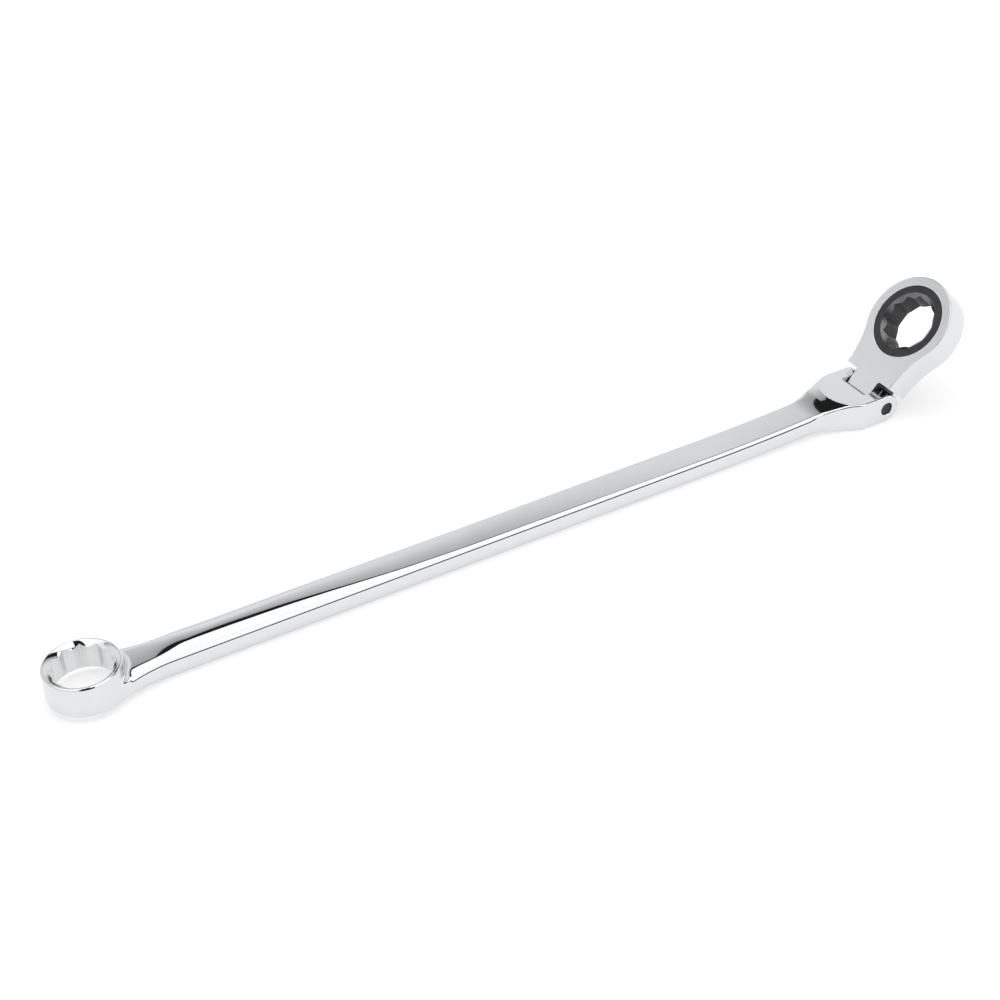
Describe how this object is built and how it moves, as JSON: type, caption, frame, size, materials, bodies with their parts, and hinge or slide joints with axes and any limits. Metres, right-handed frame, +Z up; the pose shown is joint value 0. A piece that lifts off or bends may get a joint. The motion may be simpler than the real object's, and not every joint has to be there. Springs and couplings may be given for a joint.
{
  "type": "flex-head ratcheting box wrench",
  "caption": "Long wrench with a plain twelve-point box at one end and a ratcheting twelve-point box on a flexing head at the other.",
  "frame": {"origin": "centre of the fixed box opening, on the plane that the wrench lies on", "axes": "+X along the shank to the hinge, +Z up along the fixed opening, Y along the hinge pin"},
  "size_m": [0.462, 0.0464, 0.0576],
  "materials": {
    "chrome": "polished chrome plate over forged steel",
    "black_oxide": "black oxide, lightly oiled",
    "spring_steel": "drawn wire",
    "bearing_steel": "ground"
  },
  "bodies": {
    "beam": {"beam": "chrome", "hinge_pin": "black_oxide", "friction_ball": "bearing_steel", "friction_spring": "spring_steel"},
    "head": {"flex_head": "chrome", "retaining_ring": "spring_steel", "pawl_spring": "spring_steel"},
    "gear": {"drive_gear": "black_oxide"},
    "pawl": {"pawl": "bearing_steel"}
  },
  "joints": [
    {"name": "head_flex", "type": "hinge", "parent": "beam", "child": "head", "pos_m": [0.3975, 0, 0.0071], "axis": [0, -1, 0], "range_deg": [-137, 43]},
    {"name": "gear_spin", "type": "hinge", "parent": "head", "child": "gear", "pos_m": [0.42464, 0, 0.03621], "axis": [-0.7314, 0, 0.682], "continuous": true},
    {"name": "pawl_slide", "type": "slide", "parent": "head", "child": "pawl", "axis": [-0.682, 0, -0.7314], "range_m": [0, 0.00095], "stiffness_N_per_m": 400, "springref_m": -0.003, "deforming": ["pawl_spring"]}
  ]
}
